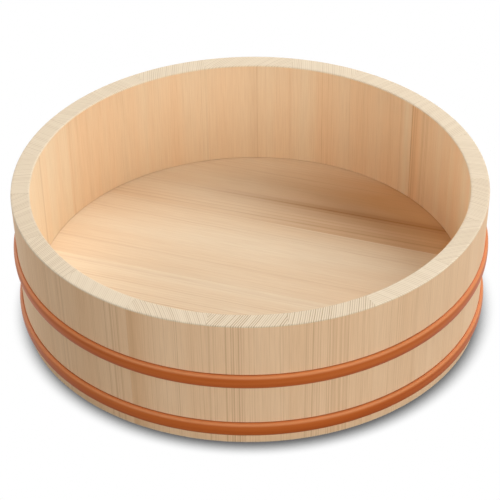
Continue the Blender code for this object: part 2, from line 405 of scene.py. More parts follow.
@dataclass(frozen=True)
class PlanedSawara:
    """Sawara cypress, sawn, planed and left bare.

    It gives the eye a pale cream softwood with straight, hairline growth rings, a few of them dark, faint
    silky streaks along the fibres, a rosier cast towards the heart, and paler, crisply ringed end grain. The
    material reads three attributes of the piece. The first, growth, holds the count of rings across, mm round
    the ring and mm along the trunk, and its noises are scaled by them. The second, tint, holds how strong the
    ring lines, the rosy cast and the dark heartwood are. The third, cut, holds 1 on sawn ends, 1 inside the
    tub, and the strength of the rings on the sawn ends.

    Attributes:
        name: The material's name.
        inside: Colour of the wide pale part of a ring, inside the tub.
        latewood: Colour of the thin dark part of a ring.
        rosy: Colour of the wood nearer the heart.
        heart: Colour of dark heartwood streaks.
        outside: Colour of the wide pale part of a ring, outside the tub.
        end_early: Colour of the pale part of a ring on a sawn end.
        end_late: Colour of the dark part of a ring on a sawn end.
        shine: Strength of its mirror part, 0.5 being a sealed surface; open fibres have less.
        roughness: A planed bare softwood is near 0.6.
        roughness_swing: How much the roughness changes between fibres.
        wander: Where the rings wander: over some 9 rings, and hardly at all along 100 mm of trunk.
        wander_rings: Range of that wandering, in rings, of which mostly a third is used.
        ring_edge: How dark a ring is from its start to its end.
        year_power: How rare dark years are; at 2.5, about one in four is dark.
        year_span: How dark a year is.
        line_share: How much of the dark colour the darkest ring line takes.
        cast: Where the rosy cast comes and goes: over some 11 rings.
        cast_span: How much it changes, both ways.
        fibres: Silky streaks, some 0.7 mm wide and 25 mm long with finer ones between them.
        fibre_span: How much of the dark colour they take.
        streak_span: How much darker heartwood is in its ring lines.
        sawn_edge: The same on a sawn end, where the dark part looks broader.
        sawn_span: How dark a year is on a sawn end.
        pores: Open cells of sawn ends, drawn at some 0.4 mm, coarser than real ones, so that they show.
        pore_span: How much of the dark colour they take.
        line_relief: Height of the ring lines, the fibres' being 1.
        relief: Strength of the relief, and its height in mm.
    """

    name: str
    inside: str
    latewood: str
    rosy: str
    heart: str
    outside: str = "#F8D4AC"
    end_early: str = "#EDDCC2"
    end_late: str = "#A27E52"
    shine: float = 0.2
    roughness: float = 0.6
    roughness_swing: float = 0.12
    wander: Noise = Noise((0.11, 0.02, 0.0015), 2.0)
    wander_rings: float = 0.9
    ring_edge: Stops = ((0.0, 0.0), (0.5, 0.05), (0.76, 0.45), (0.9, 1.0), (1.0, 0.0))
    year_power: float = 2.5
    year_span: Span = (1.1, 0.1)
    line_share: float = 0.9
    cast: Noise = Noise((0.09, 0.012, 0.003), 2.0)
    cast_span: Span = (1.0, -0.5)
    fibres: Noise = Noise((2.2, 1.2, 0.04), 4.0)
    fibre_span: Span = (0.5, -0.2)
    streak_span: Span = (0.5, 0.75)
    sawn_edge: Stops = ((0.0, 0.05), (0.35, 0.1), (0.65, 0.75), (0.88, 1.0), (1.0, 0.05))
    sawn_span: Span = (0.65, 0.35)
    pores: Noise = Noise((3.0, 3.0, 0.0), 3.0)
    pore_span: Span = (0.45, -0.18)
    line_relief: float = 0.5
    relief: tuple[float, float] = (0.2, 0.05)

    def build(self) -> Material:
        """Builds the node material.

        Returns:
            The material.
        """
        material, tree, shader = new_material(self.name)
        add = partial(add_node, tree)
        stored = [add("ShaderNodeAttribute", attribute_name=name) for name in ("growth", "tint", "cut")]
        growth, tint, cut = (attribute.outputs["Vector"] for attribute in stored)
        count = add("ShaderNodeSeparateXYZ", (growth,)).outputs["X"]
        line_part, rosy_part, heart_part = add("ShaderNodeSeparateXYZ", (tint,)).outputs
        sawn_end, inside, end_part = add("ShaderNodeSeparateXYZ", (cut,)).outputs

        # The ring lines, each year with a darkness of its own
        wander = self.wander.build(tree, growth)
        years = add("ShaderNodeMath", (wander, self.wander_rings, count), operation="MULTIPLY_ADD")
        within = add("ShaderNodeMath", (years,), operation="FRACT")
        ring = add("ShaderNodeMath", (years,), operation="FLOOR")
        chance = add("ShaderNodeTexWhiteNoise", {"W": ring}, noise_dimensions="1D").outputs["Value"]
        edge = add("ShaderNodeValToRGB", (within,), self.ring_edge)
        year = add("ShaderNodeMath", (chance, self.year_power), operation="POWER")
        year = add("ShaderNodeMath", (year, *self.year_span), operation="MULTIPLY_ADD")
        line = add("ShaderNodeMath", (edge, year), operation="MULTIPLY")
        lines = add("ShaderNodeMath", (line, line_part), operation="MULTIPLY")

        # Faces along the grain
        cast = self.cast.build(tree, growth)
        cast = add("ShaderNodeMath", (cast, *self.cast_span), operation="MULTIPLY_ADD")
        rosy = add("ShaderNodeMath", (cast, rosy_part), operation="ADD")
        rosy = add("ShaderNodeClamp", (rosy,))
        dark = add("ShaderNodeMath", (lines, self.line_share), operation="MULTIPLY")
        streaks = add("ShaderNodeMath", (line, *self.streak_span), operation="MULTIPLY_ADD")
        heart = add("ShaderNodeMath", (heart_part, streaks), operation="MULTIPLY")
        fibres = self.fibres.build(tree, growth)
        silk = add("ShaderNodeMath", (fibres, *self.fibre_span), operation="MULTIPLY_ADD")
        coats = ((inside, self.inside), (rosy, self.rosy), (dark, self.latewood), (heart, self.heart))
        face = lay_over(tree, self.outside, (*coats, (silk, self.latewood)))

        # Sawn ends, where every ring shows
        edge = add("ShaderNodeValToRGB", (within,), self.sawn_edge)
        year = add("ShaderNodeMath", (chance, *self.sawn_span), operation="MULTIPLY_ADD")
        year = add("ShaderNodeMath", (year, end_part), operation="MULTIPLY")
        rings = add("ShaderNodeMath", (edge, year), operation="MULTIPLY")
        pores = self.pores.build(tree, growth)
        speckle = add("ShaderNodeMath", (pores, *self.pore_span), operation="MULTIPLY_ADD")
        sawn = lay_over(tree, self.end_early, ((rings, self.end_late), (speckle, self.end_late)))

        colour = lay_over(tree, face, ((sawn_end, sawn),))
        height = add("ShaderNodeMath", (lines, self.line_relief, fibres), operation="MULTIPLY_ADD")
        strength, depth = self.relief
        relief = add("ShaderNodeBump", {"Strength": strength, "Distance": depth * MM, "Height": height})
        swing = (self.roughness_swing, self.roughness - self.roughness_swing / 2)
        rough = add("ShaderNodeMath", (fibres, *swing), operation="MULTIPLY_ADD")
        surface = {"Base Color": colour, "Roughness": rough, "Normal": relief}
        feed(shader, {**surface, "Specular IOR Level": self.shine})
        return material


@dataclass(frozen=True)
class ExtrudedResin:
    """Copper-coloured polypropylene band, extruded and welded into a hoop.

    It gives the eye a warm terracotta orange with faint drawn streaks along its length and a painted
    highlight, a paler line along its upper shoulder. The band attribute holds a point's place on the rim's
    circle with its height between, in mm, by which the noises are scaled, and the shoulder attribute holds
    how much of the painted highlight shows.

    Attributes:
        name: The material's name.
        body: The resin's main colour.
        pale: The colour of its lighter streaks.
        deep: The colour of its darker streaks.
        painted_highlight: The colour of the painted highlight along its upper shoulder.
        shine: Strength of its mirror part, 0.5 being a new, clean plastic.
        ior: Of polypropylene.
        roughness: A drawn plastic is near 0.4.
        roughness_swing: How much the roughness changes between streaks.
        clouds: Broad streaks, some 170 mm long and 4 mm high.
        tones: Places in that noise of the deep, the main and the pale colour.
        drawn: Fine streaks, some 100 mm long and 0.7 mm high.
        relief: Strength of their relief, and its height in mm.
    """

    name: str
    body: str
    pale: str
    deep: str
    painted_highlight: str
    shine: float = 0.15
    ior: float = 1.49
    roughness: float = 0.42
    roughness_swing: float = 0.16
    clouds: Noise = Noise((0.006, 0.25, 0.006), 2.0, 0.5)
    tones: tuple[float, float, float] = (0.25, 0.5, 0.75)
    drawn: Noise = Noise((0.01, 1.5, 0.01), 3.0, 0.5)
    relief: tuple[float, float] = (0.2, 0.02)

    def build(self) -> Material:
        """Builds the node material.

        Returns:
            The material.
        """
        material, tree, shader = new_material(self.name)
        add = partial(add_node, tree)
        band = add("ShaderNodeAttribute", attribute_name="band").outputs["Vector"]
        shoulder = add("ShaderNodeAttribute", attribute_name="shoulder").outputs["Fac"]
        tones = tuple(zip(self.tones, (self.deep, self.body, self.pale)))
        clouds = add("ShaderNodeValToRGB", (self.clouds.build(tree, band),), tones)
        # Painted highlight: a paler colour laid along the upper shoulder.
        colour = lay_over(tree, clouds, ((shoulder, self.painted_highlight),))
        drawn = self.drawn.build(tree, band)
        strength, depth = self.relief
        relief = add("ShaderNodeBump", {"Strength": strength, "Distance": depth * MM, "Height": drawn})
        swing = (self.roughness_swing, self.roughness - self.roughness_swing / 2)
        rough = add("ShaderNodeMath", (drawn, *swing), operation="MULTIPLY_ADD")
        surface = {"Base Color": colour, "Roughness": rough, "Normal": relief}
        feed(shader, {**surface, "Specular IOR Level": self.shine, "IOR": self.ior})
        return material


@dataclass(frozen=True)
class SplitBamboo:
    """Bamboo split into pegs and shaved round, with brown fibre dots in a straw ground.

    Attributes:
        name: The material's name.
        straw: Colour of the ground.
        fibre: Colour of the fibre bundles.
        spacing: Distance between the bundles, in mm.
        detail: Number of finer layers in their noise.
        edges: Places in the noise where the straw ends and the fibre begins.
        roughness: Of bare split bamboo.
    """

    name: str
    straw: str
    fibre: str
    spacing: float = 0.5
    detail: float = 2.0
    edges: tuple[float, float] = (0.42, 0.62)
    roughness: float = 0.5

    def build(self) -> Material:
        """Builds the node material on object coordinates.

        Returns:
            The material.
        """
        material, tree, shader = new_material(self.name)
        place = add_node(tree, "ShaderNodeTexCoord").outputs["Object"]
        inputs = {"Vector": place, "Scale": 1 / (self.spacing * MM), "Detail": self.detail}
        bundles = add_node(tree, "ShaderNodeTexNoise", inputs)
        stops = tuple(zip(self.edges, (self.straw, self.fibre)))
        colour = add_node(tree, "ShaderNodeValToRGB", (bundles,), stops)
        feed(shader, {"Base Color": colour, "Roughness": self.roughness})
        return material


STAVE_WOOD = PlanedSawara(
    name="planed_sawara_staves", inside="#EAD3B1", latewood="#B98B5D", rosy="#ECC093", heart="#B27E4C"
)
FLOOR_WOOD = PlanedSawara(
    name="planed_sawara_floor", inside="#F6E2C4", latewood="#C49868", rosy="#DFAE7B", heart="#AB7036"
)
# The palest hoop colour is a painted highlight along the upper shoulder.
HOOP_RESIN = ExtrudedResin(
    name="copper_resin_band", body="#BD5D21", pale="#C86B2F", deep="#AF5017", painted_highlight="#E2935E"
)
PEG_BAMBOO = SplitBamboo(name="split_bamboo", straw="#CDB27E", fibre="#94733F")


# Wood growth

# A stretch across the rings: its place, its half width in mm and its strength.
Streak = tuple[float, float, float]
# Turns the place of a stretch to its place across and through the blank, in mm.
Places = Callable[[float], tuple[float, float]]

# How far apart two blanks lie in the noise, in rings, mm round the ring and mm along the trunk.
NOISE_STEP = (83.0, 211.0, 617.0)
# Rosy stretches swell along a piece this many times as fast as dark streaks do; where they swell, the rosier
# end is partly the wood's own tone and partly painted shade.
ROSY_AND_SHADE_SWELL = 2.5
# Least and most that swelling multiplies rosy stretches and dark streaks by.
ROSY_AND_SHADE_LIMITS = (0, 4.5)
HEART_LIMITS = (0.15, 1.3)


@dataclass(frozen=True)
class Blank:
    """One piece of sawn wood and where it lay in its log.

    Attributes:
        lean: Degrees between the piece's width and the direction across its growth rings; 0 is quarter-sawn.
        ring: Width of a growth ring, in mm.
        rosy: Rosy cast over the whole piece, up to 1; below 0 the cast's natural patches fade too.
        plain: Strength of the ring lines over the whole piece.
        lines: Stretches of stronger ring lines.
        heart: Dark streaks.
        blush: Rosier stretches, and paler ones with a strength below 0.
        pith: Distance from the pith of the log, in mm.
        drift: How far the grain runs off across the piece, in mm for each mm along it.
        bow: How much the grain bends, in mm for each square mm along it.
        swell: How much stronger the dark and rosy streaks get along the piece, as a share for each mm; the
        rosier, darker end it makes is partly the wood's own tone and partly painted shade.
        ends: Strength of the rings on its sawn ends.
    """

    lean: float
    ring: float = 1.3
    rosy: float = 0.3
    plain: float = 0.2
    lines: tuple[Streak, ...] = ()
    heart: tuple[Streak, ...] = ()
    blush: tuple[Streak, ...] = ()
    pith: float = 220.0
    drift: float = 0.0
    bow: float = 0.0
    swell: float = 0.0
    ends: float = 0.4

    def ring_places(self, across: float | Array, outward: float | Array) -> tuple[Array, Array]:
        """Places across the rings and round them.

        The rings are circles round a pith that lies off to one side, square to the rings, at the blank's
        distance from its middle. The place across them is the distance from the pith less the blank's own.

        Args:
            across: Place across the blank's width, in mm.
            outward: Place through its thickness, in mm.

        Returns:
            The place across the rings and the one round them, in mm.
        """
        turn = math.radians(self.lean)
        towards = across * math.cos(turn) + outward * math.sin(turn)
        around = outward * math.cos(turn) - across * math.sin(turn)
        return np.hypot(towards + self.pith, around) - self.pith, around

    def grow(self, points: Array, seed: int, places: Places) -> tuple[Array, Array]:
        """Growth and tint of points in the blank.

        The count of rings is the place across them over the width of a ring. Each stretch follows the rings
        through the wood and fades from its middle as exp(-(distance / half width)^2).

        Args:
            points: Rows of mm across the blank's width, through its thickness and along its length.
            seed: A number for the blank, which moves it to its own place in the noise.
            places: Finds the places of the stretches.

        Returns:
            Rows of ring count, mm round the ring and mm along the trunk, and rows of the strengths of ring
            lines, rosy cast and dark heartwood.
        """
        across, outward, along = points.T
        depth, around = self.ring_places(across - self.drift * along - self.bow * along**2, outward)
        growth = np.stack([depth / self.ring, around, along], axis=-1) + np.array(NOISE_STEP) * seed

        def sum_of(stretches: tuple[Streak, ...]) -> Array:
            """Adds up fading stretches.

            Args:
                stretches: The stretches.

            Returns:
                The strength at each point.
            """
            total = np.zeros_like(depth)
            for place, half, strength in stretches:
                middle = self.ring_places(*places(place))[0]
                total = total + strength * np.exp(-(((depth - middle) / half) ** 2))
            return total

        lines = self.plain + sum_of(self.lines)
        # Where a piece swells, its rosier end is partly its own tone and partly painted shade.
        rosy = self.rosy + sum_of(self.blush) * np.clip(1 + ROSY_AND_SHADE_SWELL * self.swell * along, *ROSY_AND_SHADE_LIMITS)
        heart = np.clip(sum_of(self.heart) * np.clip(1 + self.swell * along, *HEART_LIMITS), 0, 1)
        return growth, np.stack([lines, rosy, heart], axis=-1)


def store_wood(piece: Piece, growth: Array, tint: Array, cut: Array) -> None:
    """Stores what the sawara's material reads.

    Args:
        piece: The piece.
        growth: Rows of ring count, mm round the ring and mm along the trunk.
        tint: Rows of the strengths of ring lines, rosy cast and dark heartwood.
        cut: Rows of 1 on sawn ends, 1 inside the tub, and the strength of the rings on the sawn ends.
    """
    for name, rows in (("growth", growth), ("tint", tint), ("cut", cut)):
        write_attribute(piece, name, rows)


# The wall

# The photograph shows the inner face as far as this stave, and the outer face of the others.
LAST_INNER_STAVE = 10
# Places are degrees round the tub on the face that the photograph shows.
STAVE_BLANKS = (
    Blank(20, 1.5, 0.45, 0.15, lines=((17, 6, 0.12),), blush=((14, 8, 0.2),)),
    Blank(
        -14, 1.4, 0.55, 0.15, lines=((33, 6, 0.5),),
        heart=((39.0, 0.7, 0.85), (38.0, 0.7, 0.55), (37.2, 0.6, 0.35), (34.5, 0.9, 0.28), (32.4, 0.6, 0.18)),
        blush=((37, 5, 0.3),),
    ),
    Blank(
        12, 1.35, 0.5, 0.15, lines=((55.8, 3.4, 0.4), (43.2, 1.2, 0.4)),
        heart=((56.0, 0.6, 0.12), (54.8, 0.5, 0.08), (47.0, 1.5, 0.06), (43.1, 0.9, 0.12)),
        blush=((41.3, 3.0, -0.3),),
    ),
    Blank(
        -20, 1.4, 0.45, 0.15, lines=((67.5, 4.5, 0.5),),
        heart=((70, 1.5, 0.05), (67.3, 0.5, 0.08), (61.9, 0.5, 0.06), (60.5, 0.6, 0.42)),
        blush=((74.5, 6, -0.15),),
    ),
    Blank(45, 1.6, 0.35, 0.12, lines=((88, 3, 0.2),), heart=((78.3, 0.8, 0.14), (88.6, 2.6, 0.14))),
    Blank(
        22, 1.5, 0.1, 0.12, lines=((103, 3.5, 0.15),), heart=((101.9, 0.5, 0.14),),
        blush=((113, 10, 0.35), (119.5, 6, 0.25)),
    ),
    Blank(-14, 1.5, 0.35, 0.12, lines=((128, 2.5, 0.1),), heart=((127.6, 1.2, 0.03),)),
    Blank(
        -20, 1.5, 0.45, 0.12, lines=((147, 4, 0.3),),
        heart=((148.4, 1.2, 0.15), (144.9, 1.0, 0.06), (140.7, 1.2, 0.09)),
    ),
    Blank(10, 1.6, 0.15, 0.1, lines=((156, 4, 0.2),)),
    Blank(-12, 1.6, 0.1, 0.1, lines=((170, 4, 0.2),), heart=((166.3, 1.9, 0.32),)),
    Blank(-20, 1.3, 0.2, 0.25, lines=((195, 6, 0.4),), ends=0.6),
    Blank(
        -18, 1.3, 0.35, 0.3, lines=((214, 4, 0.3),), heart=((218.5, 0.6, 0.3), (220.0, 0.6, 0.33)),
        ends=0.55,
    ),
    Blank(
        -22, 1.3, 0.3, 0.3, lines=((236.2, 5.5, 0.4),),
        heart=((234.4, 0.8, 0.2), (235.9, 0.6, 0.5), (236.8, 0.5, 0.14), (237.6, 0.5, 0.42)),
        blush=((227, 10, 0.45),), ends=0.3,
    ),
    Blank(
        -33, 1.25, 0.45, 0.3, lines=((252.5, 4, 0.3), (257.6, 2, 0.3)),
        heart=((241.4, 1.5, 0.19), (247.3, 1.2, 0.08)), blush=((242.5, 5, 0.45), (252, 9, -0.35)), ends=0.65,
    ),
    Blank(
        29, 1.45, 0.25, 0.3, lines=((265.9, 5.0, 0.6),),
        heart=(
            (260.2, 0.6, 0.38), (261.3, 0.5, 0.1), (264.0, 0.5, 0.32), (264.6, 0.5, 0.1),
            (265.5, 0.5, 0.19), (266.6, 0.5, 0.14), (267.1, 0.5, 0.14), (268.0, 0.5, 0.24),
            (271.0, 0.7, 0.1),
        ), ends=0.85,
    ),
    Blank(
        27, 1.45, 0.3, 0.3, lines=((284, 4, 0.3), (290.2, 7.5, 0.5)),
        heart=(
            (282.3, 0.5, 0.34), (284.0, 0.6, 0.21), (285.0, 0.5, 0.18), (287.8, 0.5, 0.15),
            (288.6, 0.5, 0.4), (289.3, 0.5, 0.32), (290.4, 0.6, 0.32), (291.4, 0.5, 0.34),
            (292.1, 0.6, 0.26), (296.0, 0.6, 0.13),
        ), ends=0.85,
    ),
    Blank(
        -12, 1.7, 0.3, 0.2, lines=((306, 12, 0.25),),
        heart=((304.2, 1.4, 0.06), (307.2, 1.6, 0.08), (311.0, 1.4, 0.16), (315.6, 1.2, 0.08)),
    ),
    Blank(-40, 1.3, 0.2, 0.2, lines=((330, 6, 0.3),), heart=((323.0, 3.0, 0.06),), ends=0.6),
    Blank(24, 1.4, 0.25, 0.2, lines=((350, 6, 0.35),), ends=0.6),
)


@dataclass
class StaveWall:
    """The wall of tapered staves. Sizes are in mm.

    Attributes:
        floor_groove: The groove for the floor, inside.
        hoop_grooves: The grooves for the hoops, outside, from the top down.
        rim_radius: Outer radius at the rim.
        foot_radius: Outer radius at the foot.
        height: Height of the wall.
        wall_at_rim: Thickness at the rim.
        wall_at_foot: Thickness at the foot.
        rim_round: Size of the sanded round on the rim's two edges.
        foot_round: Size of the round on the foot's two edges.
        joint_gap: Hairline between two staves as they are drawn here, tighter than the solids' clearance.
        edge_round: Size of the round on the grooves' edges, and at points of the section between edges.
        curve_points: Points along each round.
        rim_points: Points across the rim, with both edges.
        foot_points: Points across the foot, with both edges.
        column: Width of one column of the mesh.
        sawn_share: Share of the rounds on rim and foot that shows sawn end grain.
    """

    floor_groove: Groove
    hoop_grooves: tuple[Groove, ...]
    rim_radius: float = 165.0
    foot_radius: float = 160.4
    height: float = 100.0
    wall_at_rim: float = 13.2
    wall_at_foot: float = 12.0
    rim_round: float = 1.1
    foot_round: float = 1.2
    joint_gap: float = 0.05
    edge_round: float = 0.12
    curve_points: int = 4
    rim_points: int = 6
    foot_points: int = 5
    column: float = 0.55
    sawn_share: float = 0.6

    def outer(self, height: float | Array) -> float | Array:
        """Outer radius at a height."""
        return self.foot_radius + (self.rim_radius - self.foot_radius) * height / self.height

    def inner(self, height: float | Array) -> float | Array:
        """Inner radius at a height."""
        thickness = self.wall_at_foot + (self.wall_at_rim - self.wall_at_foot) * height / self.height
        return self.outer(height) - thickness

    def section(self) -> Array:
        """Closed cross-section of the wall, up the inside and down the outside.

        Each corner is rounded by a quadratic curve from a point on one side to a point on the other:
        (1-t)^2 A + 2 t (1-t) C + t^2 B, where A and B lie at the corner's own distance from the corner C. The
        groove's depth is measured from the inner face at the height of the floor's top.

        Returns:
            Rows of radius and height, in mm.
        """
        low, high, depth = self.floor_groove
        top = self.height
        sharp = self.edge_round
        groove_radius = self.inner(high - CLEARANCE) + depth
        corners = [
            (self.inner(0), 0, self.foot_round),
            (self.inner(low), low, sharp),
            (groove_radius, low, sharp),
            (groove_radius, high, sharp),
            (self.inner(high), high, sharp),
            (self.inner(top), top, self.rim_round),
        ]
        rim = np.linspace(self.inner(top), self.outer(top), self.rim_points)[1:-1]
        corners += [(radius, top, sharp) for radius in rim]
        corners.append((self.outer(top), top, self.rim_round))
        for low, high, depth in self.hoop_grooves:
            corners += [
                (self.outer(high), high, sharp),
                (self.outer(high) - depth, high, sharp),
                (self.outer(low) - depth, low, sharp),
                (self.outer(low), low, sharp),
            ]
        corners.append((self.outer(0), 0, self.foot_round))
        foot = np.linspace(self.outer(0), self.inner(0), self.foot_points)[1:-1]
        corners += [(radius, 0, sharp) for radius in foot]
        table = np.array(corners, float)
        points = table[:, :2]
        size = table[:, 2:]
        before = np.roll(points, 1, axis=0) - points
        after = np.roll(points, -1, axis=0) - points
        start = points + before / np.linalg.norm(before, axis=1, keepdims=True) * size
        end = points + after / np.linalg.norm(after, axis=1, keepdims=True) * size
        t = np.linspace(0, 1, self.curve_points)[None, :, None]
        curve = (1 - t) ** 2 * start[:, None] + 2 * t * (1 - t) * points[:, None] + t**2 * end[:, None]
        return curve.reshape(-1, 2)

    def angles_of(self, node: str) -> tuple[float, float]:
        """Angles of a stave's two joint faces, read from its solid and widened to the hairline gap.

        Args:
            node: Name of the stave's node.

        Returns:
            The lower and the higher angle, in radians.
        """
        corners = point_array(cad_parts[node])
        middle = math.atan2(corners[:, 1].mean(), corners[:, 0].mean())
        turn = np.angle(np.exp(1j * (np.arctan2(corners[:, 1], corners[:, 0]) - middle)))
        clearance = (CLEARANCE - self.joint_gap) / 2 / self.rim_radius
        return middle + turn.min() - clearance, middle + turn.max() + clearance

    def stave(self, node: str) -> Piece:
        """One stave: the section carried round from joint to joint, and closed by its two joint faces.

        Args:
            node: Name of the stave's node.

        Returns:
            The stave.
        """
        start, end = self.angles_of(node)
        section = self.section()
        columns = round((end - start) * self.rim_radius / self.column)
        points = carry_round(section, np.linspace(start, end, columns))
        ring = len(section)
        faces = grid_faces(columns, ring, True).tolist()
        faces.append(list(range(ring - 1, -1, -1)))
        faces.append(list(range((columns - 1) * ring, columns * ring)))
        return make_object(node + "_planed", points, faces)

    def dress(self, piece: Piece, node: str, blank: Blank, number: int) -> None:
        """Stores a stave's growth, tint and cut, and smooths its shading.

        Its width runs round the tub and its thickness outwards, both from the middle of the face on which its
        streaks were measured, and the grain runs with that face's slope.

        Args:
            piece: The stave.
            node: Name of the stave's node.
            blank: The wood that it was cut from.
            number: The stave's number.
        """
        start, end = self.angles_of(node)
        middle = (start + end) / 2
        points = point_array(piece) / MM
        x, y, z = points.T
        across = y * math.cos(middle) - x * math.sin(middle)
        seen = Face.INNER if number <= LAST_INNER_STAVE else Face.OUTER
        face = self.inner if seen is Face.INNER else self.outer
        outward = x * math.cos(middle) + y * math.sin(middle) - face(z)
        radius = face(self.height)

        def places(degrees: float) -> tuple[float, float]:
            """Where an angle round the tub lies across and through the stave, at its top."""
            turn = math.radians(degrees) - middle
            return radius * math.sin(turn), radius * (math.cos(turn) - 1)

        growth, tint = blank.grow(np.stack([across, outward, z], axis=-1), number, places)
        ends = (z > self.height - self.sawn_share * self.rim_round) | (z < self.sawn_share * self.foot_round)
        inside = np.hypot(x, y) < self.inner(z) + self.wall_at_foot / 2
        store_wood(piece, growth, tint, np.stack([ends, inside, blank.ends + 0 * z], axis=-1).astype(float))
        # Weighted normals let large flat faces keep their own shading beside small rounded edges.
        weigh = piece.modifiers.new("weighted_normals", "WEIGHTED_NORMAL")
        weigh.mode = "FACE_AREA"
        weigh.keep_sharp = True

    def build(self) -> None:
        """Builds, drills and dresses every stave."""
        material = STAVE_WOOD.build()
        cutter = peg_cutter("stave_peg_")
        for number, blank in enumerate(STAVE_BLANKS, start=1):
            node = f"stave_{number:02d}"
            piece = self.stave(node)
            cut_holes(piece, cutter)
            self.dress(piece, node, blank, number)
            settle(piece, node, material)
        bpy.data.objects.remove(cutter)


# The floor

# Places are mm across the floor from its middle, towards the back.
BOARD_BLANKS = (
    # The back board grows rosier and darker towards its right end: partly its own heartwood tone, partly
    # painted shade where the right wall shades the floor.
    Blank(
        52, 2.0, 0.25, 0.12, lines=((70, 7, 0.2), (132, 8, 0.15)),
        heart=(
            (65.4, 0.9, 0.14), (71.6, 1.2, 0.13), (84.6, 1.8, 0.13), (91.6, 5.0, 0.16),
            (93.4, 2.3, 0.34), (85, 30, 0.14),
        ),
        blush=((88, 30, 0.16), (110, 12, 0.1), (135, 14, 0.2)), pith=260, drift=0.015, swell=0.011,
    ),
    Blank(
        -48, 2.2, 0.2, 0.14, lines=((30, 30, 0.1),),
        heart=((4.5, 0.9, 0.06), (62.9, 1.2, 0.08), (-13.5, 2.0, 0.06)), pith=240,
    ),
    Blank(46, 1.8, -0.08, 0.2, lines=((-42, 9, 0.4), (-60, 12, 0.28)), heart=((-20.3, 1.3, 0.15),), pith=220),
    Blank(-44, 1.8, -0.3, 0.0, lines=((-110, 14, 0.15),), pith=220),
)


@dataclass
class BoardFloor:
    """The round floor of four boards, edge to edge. Sizes are in mm.

    Attributes:
        top: Height of the floor's face above the foot.
        thickness: Full thickness of the boards.
        tongue: Thickness of the edge that sits in the staves' groove.
        groove_depth: Depth of that groove.
        radius: Radius of that edge.
        seat_radius: Radius where the tongue meets the bevel.
        bevel_radius: Radius where the bevel meets the underside.
        grain_degrees: Direction of the grain and the joints.
        joint_gap: Hairline between boards as they are drawn here, tighter than the solids' clearance.
        rim_margin: A board's side nearer than this to the floor's edge is round and not a joint.
        tip_degrees: Half the turn that the short flat at an outer board's round tip takes up.
        rows: Rows of the mesh across a board.
        columns: Columns of the mesh along it.
    """

    top: float = 20.5
    thickness: float = 11.0
    tongue: float = 8.0
    groove_depth: float = 4.0
    radius: float = 152.7
    seat_radius: float = 148.8
    bevel_radius: float = 137.1
    grain_degrees: float = -19.8
    joint_gap: float = 0.06
    rim_margin: float = 1.0
    tip_degrees: float = 1.2
    rows: int = 150
    columns: int = 40

    def groove(self) -> Groove:
        """The groove that holds the tongue, with its clearance."""
        return self.top - self.tongue - CLEARANCE, self.top + CLEARANCE, self.groove_depth

    def axes(self) -> tuple[Array, Array]:
        """Directions along the grain and across it, towards the back."""
        turn = math.radians(self.grain_degrees)
        return np.array([math.cos(turn), math.sin(turn), 0]), np.array([-math.sin(turn), math.cos(turn), 0])

    def joints_of(self, node: str) -> tuple[float, float]:
        """Places of a board's two long sides across the grain, read from its solid, in mm.

        Args:
            node: Name of the board's node.

        Returns:
            The front side and the back side; a round side reaches the floor's edge.
        """
        place = point_array(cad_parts[node]) @ self.axes()[1] / MM
        clearance = (CLEARANCE - self.joint_gap) / 2
        edge = self.radius - self.rim_margin
        low = place.min() - clearance if place.min() > -edge else -self.radius
        high = place.max() + clearance if place.max() < edge else self.radius
        return low, high

    def slice_points(self, radius: float, height: float, low: float, high: float) -> Array:
        """A level slice of the round floor between two long sides.

        The place across is radius cos(p) with p running evenly from the back side to the front side, and the
        place along is s radius sin(p) with s from -1 to 1, so that every row ends on the circle. The round
        tip of an outer board ends in a short flat.

        Args:
            radius: Radius of the circle, in mm.
            height: Height of the slice, in mm.
            low: Front side, in mm.
            high: Back side, in mm.

        Returns:
            Points as rows by columns by x, y and z, in metres.
        """
        tip = math.cos(math.radians(self.tip_degrees))
        back = math.acos(min(high / radius, tip))
        front = math.acos(max(low / radius, -tip))
        p = np.linspace(back, front, self.rows)[:, None]
        s = np.linspace(-1, 1, self.columns)[None, :]
        along, across = self.axes()
        u = s * radius * np.sin(p)
        v = radius * np.cos(p) + 0 * s
        points = u[..., None] * along + v[..., None] * across
        points[..., 2] = height
        return points * MM

    def board(self, node: str) -> Piece:
        """One board: level slices at its face, tongue, seat and underside, joined along their outlines.

        Args:
            node: Name of the board's node.

        Returns:
            The board.
        """
        low, high = self.joints_of(node)
        tongue = self.top - self.tongue
        levels = [
            (self.radius, self.top),
            (self.radius, tongue),
            (self.seat_radius, tongue),
            (self.bevel_radius, self.top - self.thickness),
        ]
        slices = [self.slice_points(radius, height, low, high) for radius, height in levels]
        size = self.rows * self.columns
        index = np.arange(size).reshape(self.rows, self.columns)
        loop = np.concatenate([index[0], index[1:, -1], index[-1, -2::-1], index[-2:0:-1, 0]])
        grid = grid_faces(self.rows, self.columns, False)
        faces = [grid[:, ::-1], grid + (len(levels) - 1) * size]
        after = np.roll(loop, -1)
        for level in range(len(levels) - 1):
            upper, lower = level * size, (level + 1) * size
            faces.append(np.stack([after + upper, loop + upper, loop + lower, after + lower], axis=-1))
        points = np.concatenate([part.reshape(-1, 3) for part in slices])
        used, renumbered = np.unique(np.concatenate(faces), return_inverse=True)
        piece = make_object(node + "_planed", points[used], renumbered.reshape(-1, 4).tolist())
        flip_if_inside_out(piece)
        return piece

    def dress(self, piece: Piece, blank: Blank, seed: int) -> None:
        """Stores a board's growth, tint and cut: its width runs across the grain and its thickness upwards.

        Args:
            piece: The board.
            blank: The wood that it was cut from.
            seed: Its place in the noise.
        """
        points = point_array(piece) / MM
        along, across = (points @ axis for axis in self.axes())
        middle = (across.min() + across.max()) / 2
        depth = points[:, 2] - self.top

        def places(place: float) -> tuple[float, float]:
            """Where a place across the floor lies across the board, at its face."""
            return place - middle, 0.0

        growth, tint = blank.grow(np.stack([across - middle, depth, along], axis=-1), seed, places)
        # A board is inside the tub all over, and its sawn ends are hidden in the staves' groove.
        store_wood(piece, growth, tint, np.tile((0.0, 1.0, 0.0), (len(points), 1)))

